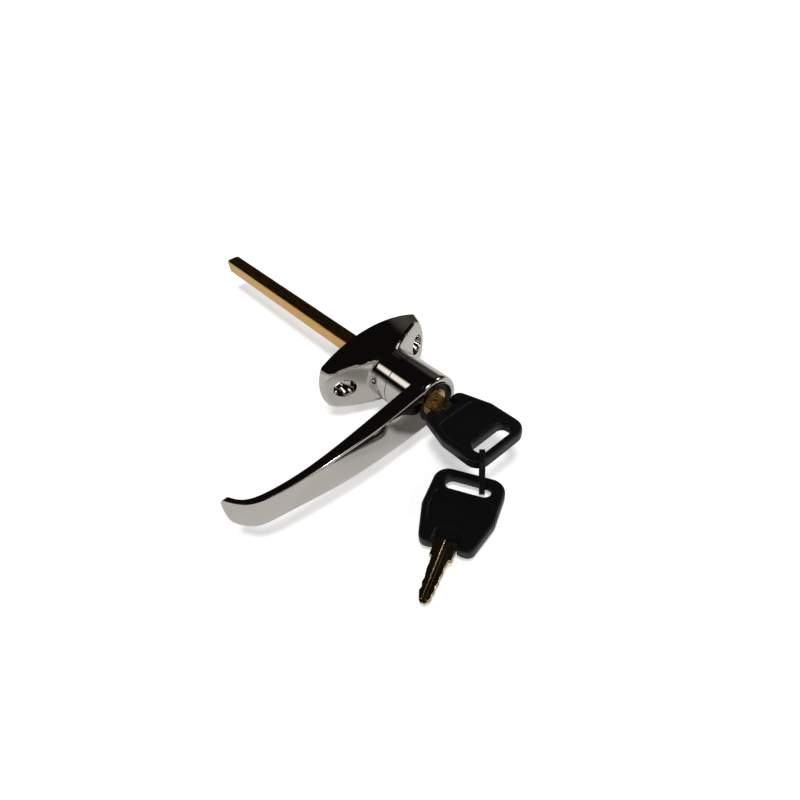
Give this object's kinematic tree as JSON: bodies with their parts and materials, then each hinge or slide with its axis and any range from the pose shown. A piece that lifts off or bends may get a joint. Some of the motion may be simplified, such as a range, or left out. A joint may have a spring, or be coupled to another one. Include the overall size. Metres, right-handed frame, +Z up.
{
  "type": "locking door handle",
  "caption": "L-shaped locking door handle on a boat-shaped plate with a long square spindle, key in its lock and a spare key on a plastic link.",
  "frame": {"origin": "centre of the mounting plate's back face, on the spindle's axis", "axes": "+Y into the door along the spindle, -X along the lever at rest, +Z up"},
  "size_m": [0.1308, 0.2537, 0.0376],
  "materials": {
    "chrome_plate": "bright chrome plate on a zinc casting",
    "yellow_zinc": "iridescent yellow zinc plate on drawn steel",
    "steel": "plain steel",
    "barrel_zinc": "dull grey zinc casting",
    "plug_brass": "machined brass",
    "key_brass": "milled brass",
    "bow_plastic": "satin black moulding",
    "link_plastic": "satin black band"
  },
  "bodies": {
    "base": {"mounting_plate": "chrome_plate"},
    "handle_body": {"handle": "chrome_plate", "spindle": "yellow_zinc", "spindle_cross_pin": "steel", "spring_washer": "steel", "stop_washer": "steel", "snap_ring": "steel", "lock_barrel": "barrel_zinc"},
    "plug_body": {"lock_plug": "plug_brass", "plug_clip": "steel", "drive_pin": "steel", "wafer_1": "plug_brass", "wafer_2": "plug_brass", "wafer_3": "plug_brass", "wafer_4": "plug_brass", "wafer_5": "plug_brass", "wafer_spring_1": "steel", "wafer_spring_2": "steel", "wafer_spring_3": "steel", "wafer_spring_4": "steel", "wafer_spring_5": "steel"},
    "bolt": {"locking_bolt": "steel"},
    "key_1": {"key_1_bow": "bow_plastic", "key_1_blade": "key_brass"},
    "link": {"key_link": "link_plastic"},
    "key_2": {"key_2_bow": "bow_plastic", "key_2_blade": "key_brass"}
  },
  "joints": [
    {"name": "handle_turn", "type": "hinge", "parent": "base", "child": "handle_body", "pos_m": [0, 0, 0], "axis": [0, 1, 0], "range_deg": [-90, 90]},
    {"name": "plug_turn", "type": "hinge", "parent": "handle_body", "child": "plug_body", "pos_m": [0, -0.04, 0], "axis": [0, 1, 0], "range_deg": [-90, 0]},
    {"name": "bolt_slide", "type": "slide", "parent": "handle_body", "child": "bolt", "axis": [0, 0, 1], "range_m": [0, 0.00312]},
    {"name": "key_1_slide", "type": "slide", "parent": "plug_body", "child": "key_1", "axis": [0, -1, 0], "range_m": [0, 0.028]},
    {"name": "link_swing", "type": "hinge", "parent": "key_1", "child": "link", "pos_m": [-0.011, -0.0834, 0], "axis": [0.6947, -0.7193, 0], "range_deg": [-10, 10]},
    {"name": "key_2_swing", "type": "hinge", "parent": "link", "child": "key_2", "pos_m": [-0.01053, -0.08319, -0.0136], "axis": [0.4431, -0.8965, 0], "range_deg": [0, 90]}
  ],
  "couplings": [
    {"joint": "bolt_slide", "follows": "plug_turn", "m_per_rad": -0.0019807}
  ]
}
